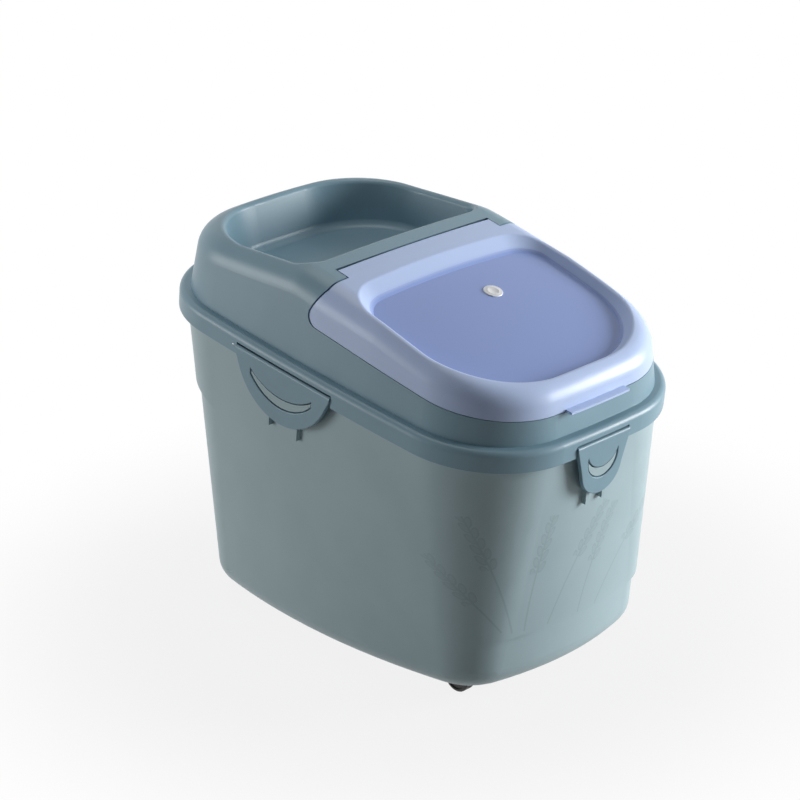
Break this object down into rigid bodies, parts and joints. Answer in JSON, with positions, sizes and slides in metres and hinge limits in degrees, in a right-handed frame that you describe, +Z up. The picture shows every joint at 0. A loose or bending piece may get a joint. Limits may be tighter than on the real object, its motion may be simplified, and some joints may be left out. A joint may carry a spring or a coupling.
{
  "type": "grain storage container",
  "caption": "Tapered grain bin on rollers: clip-on lid with a cup tray at the rear and a translucent flip cover over the pouring opening.",
  "frame": {"origin": "on the floor under the middle of the tub", "axes": "+Z up, -Y towards the pouring end with the flip cover, +X to the right seen from the front"},
  "size_m": [0.2526, 0.399, 0.3231],
  "materials": {
    "tub_plastic": "satin grey-blue",
    "lid_plastic": "satin slate blue",
    "cover_plastic": "frosted translucent lavender",
    "seal_rubber": "soft",
    "pin_steel": "bright",
    "wheel_black": "matt",
    "badge_white": "smooth"
  },
  "bodies": {
    "tub": {"tub": "tub_plastic", "axle_front_left": "pin_steel", "axle_front_right": "pin_steel", "axle_rear_left": "pin_steel", "axle_rear_right": "pin_steel"},
    "lid": {"lid": "lid_plastic", "lid_seal": "seal_rubber", "flip_cover_seal": "seal_rubber", "flip_hinge_pin": "pin_steel", "latch_left_pin": "pin_steel", "latch_right_pin": "pin_steel", "latch_front_pin": "pin_steel", "latch_rear_pin": "pin_steel"},
    "flip_cover": {"flip_cover": "cover_plastic", "cover_badge": "badge_white"},
    "latch_left": {"latch_left": "lid_plastic"},
    "latch_right": {"latch_right": "lid_plastic"},
    "latch_front": {"latch_front": "lid_plastic"},
    "latch_rear": {"latch_rear": "lid_plastic"},
    "wheel_front_left": {"wheel_front_left": "wheel_black"},
    "wheel_front_right": {"wheel_front_right": "wheel_black"},
    "wheel_rear_left": {"wheel_rear_left": "wheel_black"},
    "wheel_rear_right": {"wheel_rear_right": "wheel_black"}
  },
  "joints": [
    {"name": "lid_lift", "type": "slide", "parent": "tub", "child": "lid", "axis": [0, 0, 1], "range_m": [0, 0.16]},
    {"name": "flip_cover_hinge", "type": "hinge", "parent": "lid", "child": "flip_cover", "pos_m": [0, -0.00482, 0.31188], "axis": [-1, 0, 0], "range_deg": [0, 95]},
    {"name": "latch_left_hinge", "type": "hinge", "parent": "lid", "child": "latch_left", "pos_m": [-0.123, 0.01894, 0.24114], "axis": [0, 0.9909, 0.1349], "range_deg": [0, 90]},
    {"name": "latch_right_hinge", "type": "hinge", "parent": "lid", "child": "latch_right", "pos_m": [0.123, 0.01894, 0.24114], "axis": [0, -0.9909, -0.1349], "range_deg": [0, 90]},
    {"name": "latch_front_hinge", "type": "hinge", "parent": "lid", "child": "latch_front", "pos_m": [0, -0.19707, 0.21174], "axis": [-1, 0, 0], "range_deg": [0, 90]},
    {"name": "latch_rear_hinge", "type": "hinge", "parent": "lid", "child": "latch_rear", "pos_m": [0, 0.19531, 0.26514], "axis": [1, 0, 0], "range_deg": [0, 90]},
    {"name": "wheel_front_left_spin", "type": "hinge", "parent": "tub", "child": "wheel_front_left", "pos_m": [-0.075, -0.12, 0.0125], "axis": [1, 0, 0], "continuous": true},
    {"name": "wheel_front_right_spin", "type": "hinge", "parent": "tub", "child": "wheel_front_right", "pos_m": [0.075, -0.12, 0.0125], "axis": [1, 0, 0], "continuous": true},
    {"name": "wheel_rear_left_spin", "type": "hinge", "parent": "tub", "child": "wheel_rear_left", "pos_m": [-0.075, 0.12, 0.0125], "axis": [1, 0, 0], "continuous": true},
    {"name": "wheel_rear_right_spin", "type": "hinge", "parent": "tub", "child": "wheel_rear_right", "pos_m": [0.075, 0.12, 0.0125], "axis": [1, 0, 0], "continuous": true}
  ]
}
